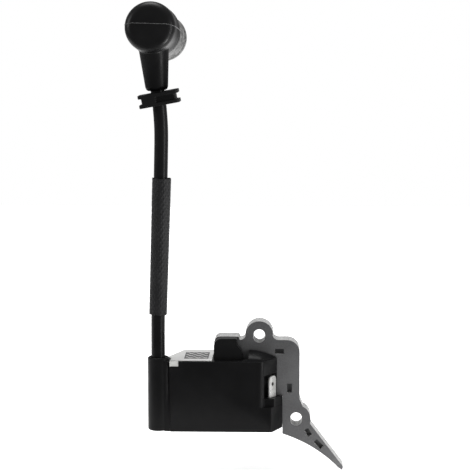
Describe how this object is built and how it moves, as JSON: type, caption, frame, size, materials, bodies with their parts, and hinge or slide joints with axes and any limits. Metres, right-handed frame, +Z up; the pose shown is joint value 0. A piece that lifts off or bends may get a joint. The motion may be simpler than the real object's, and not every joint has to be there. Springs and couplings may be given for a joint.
{
  "type": "ignition coil",
  "caption": "Flywheel ignition coil with a laminated two-leg core, potted black casing, spade tab, sleeved high-tension lead, grommet and right-angle plug boot.",
  "frame": {"origin": "on the laminated core's back face, which lies against the engine's two bosses, on the centre line of the right leg", "axes": "+X to the right of the coil as seen from its front, +Y into the engine, +Z up along the high-tension lead"},
  "size_m": [0.0785, 0.0369, 0.171],
  "materials": {
    "lamination_steel": "dull grey punched electrical steel, bright on the cut edges",
    "black_plastic": "satin black glass-filled thermoplastic, finely grained",
    "resin_grey": "pale grey cast potting resin",
    "label_film": "off-white satin film with one blank printed patch",
    "tinned_steel": "bright tinned strip",
    "bobbin_plastic": "smooth black nylon",
    "copper_wire": "enamelled copper",
    "fine_copper_wire": "fine enamelled copper, dark amber",
    "board_green": "green solder mask on glass-epoxy",
    "component_black": "moulded epoxy",
    "component_orange": "dipped capacitor coating",
    "component_beige": "resistor lacquer",
    "brass": "turned brass",
    "sealant": "cured black silicone",
    "lead_jacket": "semi-gloss black high-tension cable jacket",
    "sleeve_braid": "dark grey woven glass-fibre sleeving",
    "soft_rubber": "moulded black rubber, semi-matt",
    "spring_steel": "plated spring steel"
  },
  "bodies": {
    "module": {"lamination_01": "lamination_steel", "lamination_02": "lamination_steel", "lamination_03": "lamination_steel", "lamination_04": "lamination_steel", "lamination_05": "lamination_steel", "lamination_06": "lamination_steel", "lamination_07": "lamination_steel", "lamination_08": "lamination_steel", "lamination_09": "lamination_steel", "lamination_10": "lamination_steel", "lamination_11": "lamination_steel", "lamination_12": "lamination_steel", "casing_shell": "black_plastic", "potting_resin": "resin_grey", "top_label": "label_film", "stop_terminal": "tinned_steel", "primary_bobbin": "bobbin_plastic", "primary_winding": "copper_wire", "secondary_bobbin": "bobbin_plastic", "secondary_winding_1": "fine_copper_wire", "secondary_winding_2": "fine_copper_wire", "secondary_winding_3": "fine_copper_wire", "secondary_winding_4": "fine_copper_wire", "ground_strip": "tinned_steel", "circuit_board": "board_green", "power_transistor": "component_black", "trigger_thyristor": "component_black", "storage_capacitor": "component_orange", "protection_diode": "component_black", "gate_resistor": "component_beige", "bias_resistor": "component_beige", "stop_wire": "copper_wire", "high_voltage_wire": "copper_wire", "high_voltage_pin": "brass", "tower_seal": "sealant", "ignition_lead": "lead_jacket", "lead_conductor": "copper_wire"},
    "sleeve": {"protective_sleeve": "sleeve_braid"},
    "grommet": {"lead_grommet": "soft_rubber"},
    "boot": {"plug_boot": "soft_rubber", "contact_spring": "spring_steel", "contact_nail": "spring_steel"}
  },
  "joints": [
    {"name": "sleeve_slide", "type": "slide", "parent": "module", "child": "sleeve", "axis": [0.017, 0, 0.9999], "range_m": [-0.015, 0.014]},
    {"name": "grommet_slide", "type": "slide", "parent": "module", "child": "grommet", "axis": [-0.0785, 0, 0.9969], "range_m": [-0.008, 0]},
    {"name": "boot_swivel", "type": "hinge", "parent": "module", "child": "boot", "pos_m": [-0.04784, -0.0132, 0.10503], "axis": [-0.0732, 0, 0.9973], "range_deg": [-90, 90]}
  ]
}
